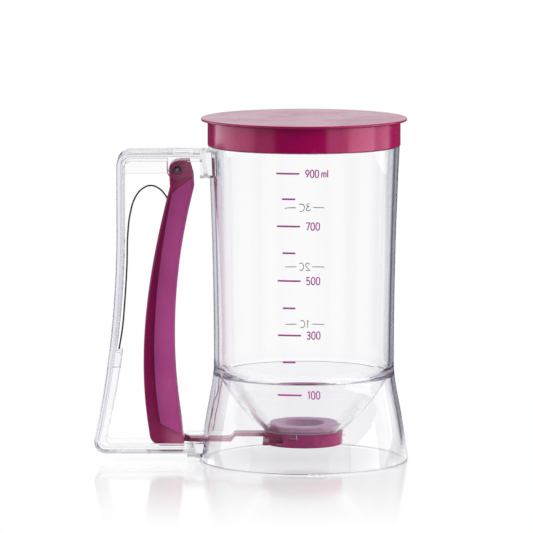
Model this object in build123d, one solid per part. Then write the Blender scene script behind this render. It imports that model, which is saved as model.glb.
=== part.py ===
from build123d import *
import math
import os

# Pancake batter dispenser. Millimetres, +Z up. The origin is on the jar's axis at the table,
# and the handle stands on the -X side. The mechanism is symmetric about the plane Y = 0.

# ---- Jar: one clear moulding with its funnel and standing skirt ----
WALL = 2.2                   # wall of jar, funnel and skirt
BASE_RADIUS = 56.0           # outside of the skirt at the table
FLARE_RADIUS = 50.9          # outside of the skirt half-way down
FLARE_HEIGHT = 31.5
WAIST_RADIUS = 48.1          # narrowest place of the outside
WAIST_HEIGHT = 54.0
SHOULDER_RADIUS = 51.0       # widest place of the jar, under the lid
SHOULDER_HEIGHT = 168.8
RIM_STEP = 1.7               # the rim stands in from the shoulder by this
RIM_WALL = 2.1
HOLLOW_DROP = 6.1            # top of the hollow skirt below the waist
FUNNEL_BOW = 2.2             # how far the funnel's outside bulges from a cone
FUNNEL_BLEND = 12.0          # radius between the jar's wall and the funnel, inside
EDGE = 0.6                   # softened rims of the clear parts
MERGE = 0.6                  # depth that a moulded-on feature is rooted in the wall

# ---- Outlet and valve ----
OUTLET_HEIGHT = 15.7         # rim of the outlet collar above the table
COLLAR_RADIUS = 21.3
COLLAR_BORE = 18.5
SEAT_RISE = 4.3              # top of the seat above the collar's rim
THROAT_RADIUS = 10.0         # pouring hole where the gate closes it
MOUTH_RADIUS = 11.25         # pouring hole at the top of the seat
SEAT_FIT = 0.1               # seat in the collar, and seat flange in the cap
SEAT_FLANGE = 0.9
SEAT_FLANGE_LIP = 1.0        # how far the flange reaches out past the bore
CAP_RADIUS = 20.75
CAP_WALL = 2.15
CAP_FLOOR = 2.1
CAP_HOLE_RADIUS = 12.6
SLOT_HALF_WIDTH = 17.5       # opening of the cap on the handle side
LIP_REACH = 1.2              # shelf of the cap under the gate, on the handle side
LIP_HALF_WIDTH = 13.5
LUG_WIDTH = 5.0              # hooks of the collar that hold the cap
LUG_WALL = 1.2
LUG_DROP = 2.7               # reach of a hook below the collar's rim
LUG_HOOK = 0.8
LUG_ANGLES = (0.0, 107.0, -107.0)
LUG_FIT = 0.15

# ---- Slide bar and gate ----
RUN = 0.1                    # running clearance above and below the gate
GATE_THICKNESS = 1.8
GATE_HALF_WIDTH = 12.5
GATE_RIB = 2.0               # depth of the gate's edge ribs
GATE_RIB_WALL = 1.6
BAR_THICKNESS = 1.9
BAR_WIDTH = 10.0
NECK_WIDTH = 7.0             # bar where it enters the lever
BAR_DROP = 2.6               # the outer bar lies lower than the gate by this
JOGGLE_INSET = 17.0          # joggle inside the skirt, from the skirt's outside
JOGGLE_RUN = 2.4
KNUCKLE_RADIUS = 2.3         # head of the bar, caught in the lever
KNUCKLE_WIDTH = 10.0
GUSSET = 1.9
BAR_FIT = 0.4                # bar between its guide rails

# ---- Lid ----
LID_DRUM = 13.4              # depth of the drum
LID_WALL = 1.8
LID_PLATE = 1.4
LID_OVERHANG = 3.5
LID_FIT = 0.3                # drum over the rim
LID_GAP = 0.2                # drum above the shoulder
LID_BLEND = 0.5

# ---- Handle frame ----
HANDLE_DROP = 2.1            # top of the handle below the shoulder
HANDLE_DEPTH = 32.5          # pivot to the outside of the grip
HANDLE_FLARE = 13.8          # extra reach at the foot
HANDLE_BEND = 125.0          # height where the grip starts to flare
HANDLE_FOOT = 4.2            # underside above the table
HANDLE_WIDTH = 20.0
HANDLE_WEB = 2.1
CHEEK = 2.0                  # side walls of the channel
CHEEK_DEPTH_TOP = 5.7
CHEEK_DEPTH_GRIP = 4.2
CHEEK_DEPTH_LOW = 7.5        # deeper below the spring's seat
CHEEK_DEPTH_FOOT = 5.4
HANDLE_CORNER_TOP = 8.0
HANDLE_CORNER_FOOT = 6.5
CORNER_MIN = 2.5
HANDLE_EDGE = 1.2            # rounding along the outside of the frame
CHANNEL_FILLET = 1.4         # inside the channel, between the web and the side walls
RIM_EDGE = 0.6               # softened rims of the channel
EAR_RADIUS = 5.6
STOP_RIB = 2.4               # thickness of the rib that stops the lever
STOP_RIB_DROP = 12.7         # underside of the rib below the handle's top
STOP_GAP = 1.0
TOP_SLOT_LENGTH = 10.6
TOP_SLOT_WIDTH = 8.0
SPRING_SEAT_HEIGHT = 9.0
SPRING_SEAT_WIDTH = 5.0

# ---- Joints between handle and jar ----
BRACKET_REACH = 4.4
BRACKET_WALL = 2.2
BRACKET_FLOOR = 1.2
HOOK_THICKNESS = 1.8
HOOK_LEAN = 1.3
HOOK_DEPTH = 7.4
HOOK_INSET = 1.5             # hook's near face from the jar's shoulder
SNAP_FIT = 0.15
SOCKET_REACH = 6.4           # foot socket, from the skirt's outside
SOCKET_END = 2.0
PEG_RADIUS = 1.2
PEG_REACH = 1.6
RAIL_WALL = 1.6
RAIL_GAP = 0.8               # ends of the guide rails from the lever's lower end
RAIL_TOP = 2.1               # guide rails above the bar
GUIDE_RIB_WALL = 1.6
GUIDE_RIB_REACH = 15.0       # ribs under the jar, from the skirt's outside at the table

# ---- Trigger lever, pin and spring ----
PIVOT_GAP = 16.4             # least distance of the pivot from the jar's shoulder
TOE_GAP = 11.4               # least distance of the pivot from the skirt's outside
PIVOT_DROP = 10.0            # pivot below the handle's top
PIN_RADIUS = 1.5
PIN_INSET = 0.2
PIN_PRESS = 0.02
PIN_RUN = 0.06
RECESS_RADIUS = 2.4
RECESS_DEPTH = 1.2
LEVER_SIDE_GAP = 0.5
GRIP_WIDTH = 20.0
LEVER_EDGE = 1.0
GRIP_EDGE = 1.6
HEAD_RADIUS = 4.5
HEAD_RISE = 4.9
HEAD_FRONT = 6.3
HEAD_STEP = 2.2              # step below the head's brow, on the finger side
NECK_DROP = 9.6
LINK_SETBACK = 1.65          # knuckle behind the pivot
LINK_FIT = 0.4
FORK_WALL = 2.35
FORK_TOP = 0.5
LEVER_FOOT = 2.85            # lever's lower end below the knuckle's centre
LEVER_FOOT_CORNER = 6.5
CORE_HALF_WIDTH = 4.2
CORE_FRONT_WALL = 4.5
WIRE_RADIUS = 0.5
WIRE_GROOVE = 0.35           # groove clearance round the wire
# Edges of the lever: shares of the way from pivot to knuckle, and distances from the line
# between them (+X is the finger side).
BACK_SHARES = (0.066, 0.376, 0.708, 0.966)
BACK_OFFSETS = (-3.9, -13.3, -17.1, -13.8)
FRONT_SHARES = (0.066, 0.339, 0.6, 0.929)
FRONT_OFFSETS = (8.9, 1.6, -0.7, 3.5)
CREASE_SHARES = (0.088, 0.30, 0.66, 0.935)
CREASE_OFFSETS = (-2.7, -7.7, -11.3, -7.6)
GRIP_SHARES = (0.028, 0.975)  # ends of the grip on the finger side
GRIP_INSET = 0.5
CORE_SHARES = (0.17, 0.90)
# Centre line of the spring's wire: behind the pivot and below the lever's neck, then off the
# handle's web and below the neck.
SPRING_HOOK = ((3.2, 11.4), (8.0, 3.4), (14.5, -0.3), (21.0, 4.6))
SPRING_LEG = ((5.0, 14.5), (3.2, 41.0), (1.0, 73.0), (-1.6, 88.0))
SPRING_SEAT_SINK = 0.25

# ---- Places that follow from the sizes ----
RIM_RADIUS = SHOULDER_RADIUS - RIM_STEP
RIM_HEIGHT = SHOULDER_HEIGHT + LID_GAP + LID_DRUM
HOLLOW_HEIGHT = WAIST_HEIGHT - HOLLOW_DROP
SEAT_TOP = OUTLET_HEIGHT + SEAT_RISE
FLANGE_UNDERSIDE = OUTLET_HEIGHT - SEAT_FLANGE
FLANGE_RADIUS = COLLAR_BORE + SEAT_FLANGE_LIP
GATE_TOP = FLANGE_UNDERSIDE - RUN
GATE_UNDERSIDE = GATE_TOP - GATE_THICKNESS
CAP_FLOOR_TOP = GATE_UNDERSIDE - GATE_RIB - RUN
CAP_BOTTOM = CAP_FLOOR_TOP - CAP_FLOOR
BAR_TOP = GATE_TOP - BAR_DROP
BAR_UNDERSIDE = BAR_TOP - BAR_THICKNESS
LINK_HEIGHT = (BAR_TOP + BAR_UNDERSIDE) / 2
HANDLE_TOP = SHOULDER_HEIGHT - HANDLE_DROP
PIVOT_X = -max(SHOULDER_RADIUS + PIVOT_GAP, BASE_RADIUS + TOE_GAP)
PIVOT_HEIGHT = HANDLE_TOP - PIVOT_DROP
LINK_X = PIVOT_X - LINK_SETBACK
LEVER_TOE_X = LINK_X + KNUCKLE_RADIUS + LINK_FIT + FORK_WALL
RAIL_END = LEVER_TOE_X + RAIL_GAP
GRIP_X = PIVOT_X - HANDLE_DEPTH
HALF = HANDLE_WIDTH / 2
LEVER_HALF = HALF - CHEEK - LEVER_SIDE_GAP
SOCKET_TOP = BAR_UNDERSIDE - BAR_FIT
SOCKET_HALF = HALF + SNAP_FIT + BRACKET_WALL


def upright(face, y_low, y_high):
    """Face drawn in X and Z, made solid from y_low to y_high."""
    return Pos(0, y_high, 0) * extrude(Plane.XZ * face, y_high - y_low)


def both_sides(face, y_low, y_high):
    """The same face made solid on both sides of Y = 0."""
    return upright(face, y_low, y_high) + upright(face, -y_high, -y_low)


def block(x_low, x_high, y_low, y_high, z_low, z_high):
    size = (x_high - x_low, y_high - y_low, z_high - z_low)
    return Pos((x_low + x_high) / 2, (y_low + y_high) / 2, (z_low + z_high) / 2) * Box(*size)


def rounded(face, radius, *corners):
    """Round the corners of a drawn face that lie nearest to the given points."""
    picked = [face.vertices().sort_by_distance(Vector(*corner, 0))[0] for corner in corners]
    return fillet(picked, radius)


def faces_across(solid, half):
    """The two flat faces of a solid that look along Y at the distance half."""
    return solid.faces().filter_by(Axis.Y).filter_by(lambda face: abs(abs(face.center().Y) - half) < EDGE / 10)


def polygon(*points):
    return make_face(Polyline(*points, close=True))


# ---- Container ----

def skirt_curve(inset):
    """Flared side of the skirt from the table up to the waist."""
    foot = (BASE_RADIUS - inset, 0)
    middle = (FLARE_RADIUS - inset, FLARE_HEIGHT)
    top = (WAIST_RADIUS - inset, WAIST_HEIGHT)
    return Spline(foot, middle, top, tangents=((-0.12, 1), (0, 1)))


def hollow_curve():
    """Inside of the hollow skirt, from the table up to the root of the funnel."""
    side = skirt_curve(WALL)
    root = side.find_intersection_points(Axis((0, HOLLOW_HEIGHT, 0), (1, 0, 0)))[0]
    return side.trim(0, side.param_at_point(root))


def outside_edges(inset):
    """Outside of skirt and jar up to the shoulder."""
    waist = (WAIST_RADIUS - inset, WAIST_HEIGHT)
    shoulder = (SHOULDER_RADIUS - inset, SHOULDER_HEIGHT)
    lean = (2 * (SHOULDER_RADIUS - WAIST_RADIUS), SHOULDER_HEIGHT - WAIST_HEIGHT)
    return [skirt_curve(inset), Spline(waist, shoulder, tangents=((0, 1), lean))], shoulder


def bowed(start, end, bow):
    """Curve from start to end that bulges by bow to the right of the way it goes."""
    along = Vector(end[0] - start[0], end[1] - start[1])
    middle = Vector((start[0] + end[0]) / 2, (start[1] + end[1]) / 2)
    side = Vector(along.Y, -along.X).normalized()
    return Spline(start, tuple(middle + side * bow)[:2], end)


def funnel_points():
    """Ends of the funnel's outside and inside, as radius and height."""
    root = hollow_curve() @ 1
    outer_top = (root.X, root.Y)
    outer_end = (COLLAR_RADIUS, OUTLET_HEIGHT + EDGE)
    along = Vector(outer_top[0] - outer_end[0], outer_top[1] - outer_end[1]).normalized()
    inner_top = (outer_top[0] - WALL * along.Y + EDGE, outer_top[1] + WALL * along.X)
    inner_end = (outer_end[0] - WALL * along.Y, outer_end[1] + WALL * along.X)
    return outer_top, outer_end, inner_top, inner_end


def cavity():
    """The jar's inside as a solid."""
    inner_top, inner_end = funnel_points()[2:]
    face = make_face([
        Polyline((0, RIM_HEIGHT), (RIM_RADIUS - RIM_WALL, RIM_HEIGHT), inner_top),
        bowed(inner_end, inner_top, FUNNEL_BOW),
        Polyline(inner_end, (0, inner_end[1]), (0, RIM_HEIGHT)),
    ])
    face = rounded(face, FUNNEL_BLEND, inner_top)
    return revolve(Plane.XZ * face, axis=Axis.Z)


def jar_shell():
    """Jar, funnel, collar and skirt."""
    outside, shoulder = outside_edges(0)
    outer_top, outer_end = funnel_points()[:2]
    rim = (RIM_RADIUS, RIM_HEIGHT)
    face = make_face([
        *outside,
        Polyline(shoulder, (RIM_RADIUS, SHOULDER_HEIGHT), rim, (0, RIM_HEIGHT), (0, OUTLET_HEIGHT),
                 (COLLAR_RADIUS, OUTLET_HEIGHT), outer_end),
        bowed(outer_end, outer_top, FUNNEL_BOW),
        hollow_curve(),
        Line((BASE_RADIUS - WALL, 0), (BASE_RADIUS, 0)),
    ])
    face = rounded(face, EDGE, rim, (BASE_RADIUS, 0), (BASE_RADIUS - WALL, 0), outer_top)
    solid = revolve(Plane.XZ * face, axis=Axis.Z)
    bore = Pos(0, 0, SEAT_TOP) * Cylinder(COLLAR_BORE, 4 * SEAT_RISE)
    return solid - cavity() - bore


def handle_bracket():
    """Bracket under the lid that takes the handle's hook."""
    near = -(SHOULDER_RADIUS + BRACKET_REACH)
    top = HANDLE_TOP - EDGE
    underside = HANDLE_TOP - CHEEK_DEPTH_TOP - HOOK_DEPTH - BRACKET_FLOOR
    body = block(near, -SHOULDER_RADIUS / 2, -SOCKET_HALF, SOCKET_HALF, underside, top)
    pocket = HALF + SNAP_FIT
    body -= upright(hook_face(SNAP_FIT), -pocket, pocket)
    return body


def foot_socket():
    """Tray at the foot of the skirt that takes the handle's lower end, with rails for the slide bar."""
    near = -(BASE_RADIUS + SOCKET_REACH)
    floor = HANDLE_FOOT - SNAP_FIT - RAIL_WALL
    body = block(near, -BASE_RADIUS / 2, -SOCKET_HALF, SOCKET_HALF, floor, SOCKET_TOP)
    pocket = HALF + SNAP_FIT
    pocket_end = -(BASE_RADIUS + SOCKET_END - SNAP_FIT)
    body -= block(near - 1, pocket_end, -pocket, pocket, HANDLE_FOOT - SNAP_FIT, SOCKET_TOP + 1)
    peg_hole = Pos(peg_place()) * Rot(90, 0, 0) * Cylinder(PEG_RADIUS + SNAP_FIT, 4 * SOCKET_HALF)
    body -= peg_hole
    rail_side = BAR_WIDTH / 2 + BAR_FIT
    for side in (1, -1):
        y_near, y_far = sorted((side * rail_side, side * (rail_side + RAIL_WALL)))
        rail = block(RAIL_END, -BASE_RADIUS / 2, y_near, y_far, SOCKET_TOP, BAR_TOP + RAIL_TOP)
        body += rail
    return body


def guide_ribs():
    """Two upright ribs under the jar beside the gate's path, rooted in the skirt and the funnel."""
    near = GATE_HALF_WIDTH + BAR_FIT
    middle = near + GUIDE_RIB_WALL / 2
    outer_top, outer_end = funnel_points()[:2]
    slope = (outer_top[1] - outer_end[1]) / (outer_top[0] - outer_end[0])
    inner_x = BASE_RADIUS - GUIDE_RIB_REACH
    inner_top = outer_top[1] - slope * (outer_top[0] - math.hypot(inner_x, middle))
    low = BAR_TOP + RAIL_TOP - EDGE
    flare_x = rib_root(FLARE_RADIUS, middle)
    low_x = flare_x + (rib_root(BASE_RADIUS, middle) - flare_x) * (1 - low / FLARE_HEIGHT)
    face = polygon((-inner_x, low), (-inner_x, inner_top),
                   (rib_root(WAIST_RADIUS, middle), HOLLOW_HEIGHT + WALL / 2),
                   (flare_x, FLARE_HEIGHT), (low_x, low))
    return both_sides(face, near, near + GUIDE_RIB_WALL)


def rib_root(radius, side):
    """X of the middle of the skirt's wall at the distance side from Y = 0."""
    return -math.sqrt((radius - WALL / 2) ** 2 - side ** 2)


def collar_lugs():
    """Hooks on the collar that hold the valve cap."""
    low = OUTLET_HEIGHT - LUG_DROP
    near = CAP_RADIUS + LUG_FIT
    tab = block(near, near + LUG_WALL, -LUG_WIDTH / 2, LUG_WIDTH / 2, low, OUTLET_HEIGHT + LUG_WALL)
    tab += block(COLLAR_RADIUS - MERGE, near + LUG_WALL, -LUG_WIDTH / 2, LUG_WIDTH / 2,
                 OUTLET_HEIGHT + EDGE, OUTLET_HEIGHT + LUG_WALL)
    tab += block(near - LUG_HOOK, near, -LUG_WIDTH / 2, LUG_WIDTH / 2, low, low + LUG_HOOK)
    return [Rot(0, 0, angle) * tab for angle in LUG_ANGLES]


def container():
    shell = jar_shell()
    outside, shoulder = outside_edges(MERGE)
    filled = make_face([*outside, Polyline(shoulder, (0, shoulder[1]), (0, 0), (BASE_RADIUS - MERGE, 0))])
    filled = revolve(Plane.XZ * filled, axis=Axis.Z)
    body = shell + (handle_bracket() - filled) + (foot_socket() - filled)
    body += guide_ribs()
    for lug in collar_lugs():
        body += lug
    slot_half = BAR_WIDTH / 2 + BAR_FIT
    body -= block(-(BASE_RADIUS + SOCKET_END), -BASE_RADIUS / 2 - COLLAR_RADIUS / 2, -slot_half, slot_half,
                  SOCKET_TOP, GATE_TOP + BAR_FIT)
    return body


# ---- Lid ----

def lid():
    inner = RIM_RADIUS + LID_FIT
    drum = inner + LID_WALL
    flange = drum + LID_OVERHANG
    low = RIM_HEIGHT - LID_DRUM
    top = RIM_HEIGHT + LID_PLATE
    face = polygon((0, RIM_HEIGHT), (inner, RIM_HEIGHT), (inner, low), (drum, low),
                   (drum, RIM_HEIGHT), (flange, RIM_HEIGHT), (flange, top), (0, top))
    face = rounded(face, LID_BLEND, (flange, top), (flange, RIM_HEIGHT))
    face = rounded(face, LID_BLEND, (drum, RIM_HEIGHT), (drum, low))
    return revolve(Plane.XZ * face, axis=Axis.Z)


# ---- Handle frame ----

def frame_outline(grip, top, foot, reach=0.0):
    """Outside of the handle frame, drawn inwards by its own amount on each of the three bars."""
    grip_x = GRIP_X + grip
    foot_z = HANDLE_FOOT + foot
    top_z = HANDLE_TOP - top
    end = -SHOULDER_RADIUS / 2 + reach
    arc = TangentArc((grip_x, HANDLE_BEND), (grip_x - HANDLE_FLARE, foot_z), tangent=(0, -1))
    face = make_face([
        Polyline((end, foot_z), (end, top_z), (grip_x, top_z), (grip_x, HANDLE_BEND)),
        arc,
        Line((grip_x - HANDLE_FLARE, foot_z), (end, foot_z)),
    ])
    face = rounded(face, max(HANDLE_CORNER_TOP - grip, CORNER_MIN), (grip_x, top_z))
    return rounded(face, max(HANDLE_CORNER_FOOT - grip, CORNER_MIN), (grip_x - HANDLE_FLARE, foot_z))


def hook_face(growth):
    """Hook at the handle's upper end, with the space over it, drawn in X and Z."""
    end = -(SHOULDER_RADIUS + HOOK_INSET) + growth
    bar_low = HANDLE_TOP - CHEEK_DEPTH_TOP - growth
    tip = HANDLE_TOP - CHEEK_DEPTH_TOP - HOOK_DEPTH - growth
    near = end - HOOK_THICKNESS - 2 * growth
    above = HANDLE_TOP + growth
    outer = -(SHOULDER_RADIUS + BRACKET_REACH) - growth
    return polygon((outer, above), (end, above), (end, bar_low), (end + HOOK_LEAN, tip),
                   (near + HOOK_LEAN, tip), (near, bar_low), (outer, bar_low))


def peg_place():
    """Centre of the snap peg at the handle's foot."""
    middle = -(BASE_RADIUS + (SOCKET_END + SOCKET_REACH) / 2)
    return (middle, 0, HANDLE_FOOT + CHEEK_DEPTH_FOOT / 2)


def spring_seat_top():
    return spring_points()[-1][1] - SPRING_SEAT_SINK


def handle_frame():
    outer = frame_outline(0, 0, 0)
    cheek = outer - frame_outline(CHEEK_DEPTH_GRIP, CHEEK_DEPTH_TOP, CHEEK_DEPTH_FOOT, 1)
    seat = spring_seat_top()
    low_band = outer - frame_outline(CHEEK_DEPTH_LOW, CHEEK_DEPTH_TOP, CHEEK_DEPTH_FOOT, 1)
    low_zone = polygon((GRIP_X - 2 * HANDLE_FLARE, 0), (PIVOT_X - HEAD_RADIUS, 0),
                       (PIVOT_X - HEAD_RADIUS, seat), (GRIP_X - 2 * HANDLE_FLARE, seat))
    cheek += low_band & low_zone
    ear = Pos(PIVOT_X, PIVOT_HEIGHT) * Circle(EAR_RADIUS)
    ear += polygon((PIVOT_X - EAR_RADIUS, PIVOT_HEIGHT), (PIVOT_X + EAR_RADIUS, PIVOT_HEIGHT),
                   (PIVOT_X + EAR_RADIUS, HANDLE_TOP - HANDLE_WEB / 2),
                   (PIVOT_X - EAR_RADIUS, HANDLE_TOP - HANDLE_WEB / 2))
    cheek += ear
    body = upright(cheek, -HALF, HALF)
    body = fillet(faces_across(body, HALF).edges(), RIM_EDGE)
    channel = upright(frame_outline(HANDLE_WEB, HANDLE_WEB, HANDLE_WEB, 1), CHEEK - HALF, HALF - CHEEK)
    body -= fillet(faces_across(channel, HALF - CHEEK).edges(), CHANNEL_FILLET)

    upper_end = -(SHOULDER_RADIUS + HOOK_INSET)
    foot_end = -(BASE_RADIUS + SOCKET_END)
    body -= block(upper_end, 0, -2 * HALF, 2 * HALF, PIVOT_HEIGHT / 2, 2 * HANDLE_TOP)
    body -= block(foot_end, 0, -2 * HALF, 2 * HALF, -HANDLE_FOOT, PIVOT_HEIGHT / 2)

    stop_end = PIVOT_X - HEAD_RADIUS - STOP_GAP
    stop = block(GRIP_X + HANDLE_WEB / 2, stop_end, -STOP_RIB / 2, STOP_RIB / 2,
                 HANDLE_TOP - STOP_RIB_DROP, HANDLE_TOP - HANDLE_WEB / 2)
    seat_end = spring_points()[-1][0] + 2 * WIRE_RADIUS + WIRE_GROOVE
    spring_seat = block(GRIP_X - 2 * HANDLE_FLARE, seat_end, -SPRING_SEAT_WIDTH / 2, SPRING_SEAT_WIDTH / 2,
                        seat - SPRING_SEAT_HEIGHT, seat)
    envelope = upright(outer, -HALF, HALF)
    envelope = fillet(faces_across(envelope, HALF).edges(), HANDLE_EDGE)
    body = (body + stop + spring_seat) & envelope
    body += upright(hook_face(0), -HALF, HALF)

    slot_middle = PIVOT_X + (HEAD_FRONT - HEAD_RADIUS) / 2 + HANDLE_WEB
    body -= block(slot_middle - TOP_SLOT_LENGTH / 2, slot_middle + TOP_SLOT_LENGTH / 2,
                  -TOP_SLOT_WIDTH / 2, TOP_SLOT_WIDTH / 2, HANDLE_TOP - 2 * HANDLE_WEB, 2 * HANDLE_TOP)
    body -= Pos(PIVOT_X, 0, PIVOT_HEIGHT) * Rot(90, 0, 0) * Cylinder(PIN_RADIUS + PIN_PRESS, 2 * HANDLE_WIDTH)
    peg = Pos(peg_place()) * Rot(90, 0, 0) * Cylinder(PEG_RADIUS, 2 * (HALF + PEG_REACH))
    return body + peg


# ---- Trigger lever, pin and spring ----

def lever_point(share, offset):
    """Place on the lever: share of the way from pivot to knuckle, offset from the line between them."""
    x = PIVOT_X + (LINK_X - PIVOT_X) * share + offset
    return (x, PIVOT_HEIGHT + (LINK_HEIGHT - PIVOT_HEIGHT) * share)


def lever_edge(shares, offsets, shift=0.0):
    return Spline(*[lever_point(share, offset + shift) for share, offset in zip(shares, offsets)])


def lever_face():
    """Outline of the lever's body."""
    neck = lever_point(BACK_SHARES[0], BACK_OFFSETS[0])
    front_neck = lever_point(FRONT_SHARES[0], FRONT_OFFSETS[0])
    side = (PIVOT_X - HEAD_RADIUS, PIVOT_HEIGHT)
    crown = (PIVOT_X, PIVOT_HEIGHT + HEAD_RADIUS)
    diagonal = HEAD_RADIUS * math.sqrt(0.5)
    head_arc = ThreePointArc(side, (PIVOT_X - diagonal, PIVOT_HEIGHT + diagonal), crown)
    top = PIVOT_HEIGHT + HEAD_RISE
    brow = (PIVOT_X + HEAD_FRONT, top)
    step = (PIVOT_X + HEAD_FRONT + HEAD_STEP, PIVOT_HEIGHT - NECK_DROP / 3)
    foot = LINK_HEIGHT - LEVER_FOOT
    back_low = lever_point(BACK_SHARES[-1], BACK_OFFSETS[-1])
    front_low = lever_point(FRONT_SHARES[-1], FRONT_OFFSETS[-1])
    toe = (LEVER_TOE_X, foot)
    heel = (back_low[0] + LEVER_FOOT_CORNER / 8, foot)
    face = make_face([
        Line(neck, side),
        head_arc,
        Polyline(crown, (PIVOT_X + HEAD_RADIUS / 4, top), brow, step, front_neck),
        lever_edge(FRONT_SHARES, FRONT_OFFSETS),
        Polyline(front_low, toe, heel, back_low),
        lever_edge(BACK_SHARES, BACK_OFFSETS),
    ])
    return rounded(face, LEVER_FOOT_CORNER, heel)


def grip_face():
    """The wider finger grip, between the crease and the finger side."""
    top_inner = lever_point(CREASE_SHARES[0], CREASE_OFFSETS[0])
    top_outer = lever_point(GRIP_SHARES[0], FRONT_OFFSETS[0] - GRIP_INSET)
    foot_inner = lever_point(CREASE_SHARES[-1], CREASE_OFFSETS[-1])
    front_neck = lever_point(FRONT_SHARES[0], FRONT_OFFSETS[0])
    front_low = lever_point(FRONT_SHARES[-1], FRONT_OFFSETS[-1])
    foot_outer = lever_point(GRIP_SHARES[1], LINK_SETBACK + FORK_WALL)
    return make_face([
        Polyline(top_inner, top_outer, front_neck),
        lever_edge(FRONT_SHARES, FRONT_OFFSETS),
        Polyline(front_low, foot_outer, foot_inner),
        lever_edge(CREASE_SHARES, CREASE_OFFSETS),
    ])


def lever_core():
    """Space cored out of the lever from the palm side."""
    palm = -2 * CORE_FRONT_WALL
    back_top = lever_point(BACK_SHARES[0], BACK_OFFSETS[0] + palm)
    front_top = lever_point(FRONT_SHARES[0], FRONT_OFFSETS[0] - CORE_FRONT_WALL)
    back_low = lever_point(BACK_SHARES[-1], BACK_OFFSETS[-1] + palm)
    front_low = lever_point(FRONT_SHARES[-1], FRONT_OFFSETS[-1] - CORE_FRONT_WALL)
    space = make_face([
        Line(back_top, front_top),
        lever_edge(FRONT_SHARES, FRONT_OFFSETS, -CORE_FRONT_WALL),
        Line(front_low, back_low),
        lever_edge(BACK_SHARES, BACK_OFFSETS, palm),
    ])
    upper, lower = [lever_point(share, 0)[1] for share in CORE_SHARES]
    far = GRIP_X - HANDLE_DEPTH
    return space & polygon((far, lower), (0, lower), (0, upper), (far, upper))


def trigger_lever():
    grip_half = GRIP_WIDTH / 2
    body = upright(lever_face(), -LEVER_HALF, LEVER_HALF)
    body = fillet(faces_across(body, LEVER_HALF).edges(), LEVER_EDGE)
    grip = upright(grip_face(), -grip_half, grip_half)
    finger_edges = [face.edges().sort_by(Edge.length)[-2:].sort_by(Axis.X)[-1]
                    for face in faces_across(grip, grip_half)]
    body += fillet(finger_edges, GRIP_EDGE)
    body -= upright(lever_core(), -CORE_HALF_WIDTH, CORE_HALF_WIDTH)
    axle = Pos(PIVOT_X, 0, PIVOT_HEIGHT) * Rot(90, 0, 0)
    body -= axle * Cylinder(PIN_RADIUS + PIN_RUN, 2 * HANDLE_WIDTH)
    for side in (1, -1):
        depth = side * (LEVER_HALF - RECESS_DEPTH / 2)
        body -= Pos(PIVOT_X, depth, PIVOT_HEIGHT) * Rot(90, 0, 0) * Cylinder(RECESS_RADIUS, RECESS_DEPTH)
    wire_end = spring_points()[0]
    groove = WIRE_RADIUS + WIRE_GROOVE
    core_top = lever_point(CORE_SHARES[0], 0)[1]
    body -= block(wire_end[0] - 3 * CORE_FRONT_WALL, wire_end[0] + groove, -groove, groove,
                  core_top - 1, PIVOT_HEIGHT - NECK_DROP)
    pocket = KNUCKLE_RADIUS + LINK_FIT
    roof = LINK_HEIGHT + pocket + FORK_TOP
    low = LINK_HEIGHT - 2 * LEVER_FOOT
    body -= block(LINK_X - pocket, LINK_X + pocket, -(KNUCKLE_WIDTH / 2 + LINK_FIT),
                  KNUCKLE_WIDTH / 2 + LINK_FIT, low, roof)
    body -= block(LINK_X, LINK_X + pocket + 4 * FORK_WALL, -(NECK_WIDTH / 2 + LINK_FIT),
                  NECK_WIDTH / 2 + LINK_FIT, low, roof)
    return body


def pivot_pin():
    length = HANDLE_WIDTH - 2 * PIN_INSET
    pin = Cylinder(PIN_RADIUS, length)
    pin = chamfer(pin.edges().filter_by(GeomType.CIRCLE), PIN_INSET)
    return Pos(PIVOT_X, 0, PIVOT_HEIGHT) * Rot(90, 0, 0) * pin


def spring_points():
    """Centre line of the wire, from the lever over the hairpin bend down the grip's channel."""
    neck = PIVOT_HEIGHT - NECK_DROP
    hook = [(PIVOT_X - behind, neck - below) for behind, below in SPRING_HOOK]
    leg = [(GRIP_X + HANDLE_WEB + off, neck - below) for off, below in SPRING_LEG]
    return hook + leg


def return_spring():
    path = Spline(*[(x, 0, z) for x, z in spring_points()])
    profile = Plane(origin=path @ 0, z_dir=path % 0) * Circle(WIRE_RADIUS)
    return sweep(profile, path=path)


# ---- Slide bar and gate ----

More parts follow.
